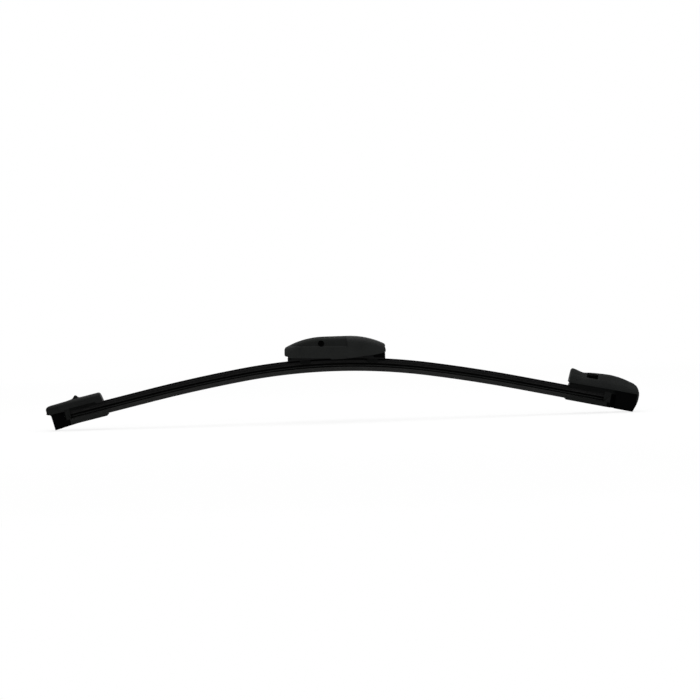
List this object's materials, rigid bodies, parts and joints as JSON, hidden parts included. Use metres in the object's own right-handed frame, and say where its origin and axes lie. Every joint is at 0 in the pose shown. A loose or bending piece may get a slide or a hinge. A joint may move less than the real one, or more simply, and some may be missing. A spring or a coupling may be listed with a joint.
{
  "type": "wiper blade",
  "caption": "Flat bowed windscreen wiper blade: rubber on spring rails, arm adapter rocking under a domed hood, forked end clips and a finned end cover.",
  "frame": {"origin": "middle of the bore that takes a side-pin wiper arm", "axes": "+X along the blade towards the end cover, -Y out of the arm pin's bore, +Z away from the glass"},
  "size_m": [0.4431, 0.019, 0.0634],
  "materials": {
    "rubber": "matt, dusted wiping rubber",
    "rail_steel": "black coated spring steel",
    "base_plastic": "moulded black plastic",
    "rivet_steel": "plated steel rivet",
    "adapter_plastic": "moulded black plastic",
    "hood_plastic": "fine grained charcoal plastic",
    "clip_plastic": "moulded black plastic",
    "cover_plastic": "fine grained charcoal plastic"
  },
  "bodies": {
    "adapter": {"arm_adapter": "adapter_plastic", "hood": "hood_plastic"},
    "blade": {"wiper_rubber": "rubber", "rail_front": "rail_steel", "rail_rear": "rail_steel", "base": "base_plastic", "pivot_rivet": "rivet_steel", "end_clip_left": "clip_plastic", "end_clip_right": "clip_plastic", "end_cover": "cover_plastic"}
  },
  "joints": [
    {"name": "blade_pivot", "type": "hinge", "parent": "adapter", "child": "blade", "pos_m": [0.0098, 0, -0.0034], "axis": [0, 1, 0], "range_deg": [-4, 6]}
  ]
}
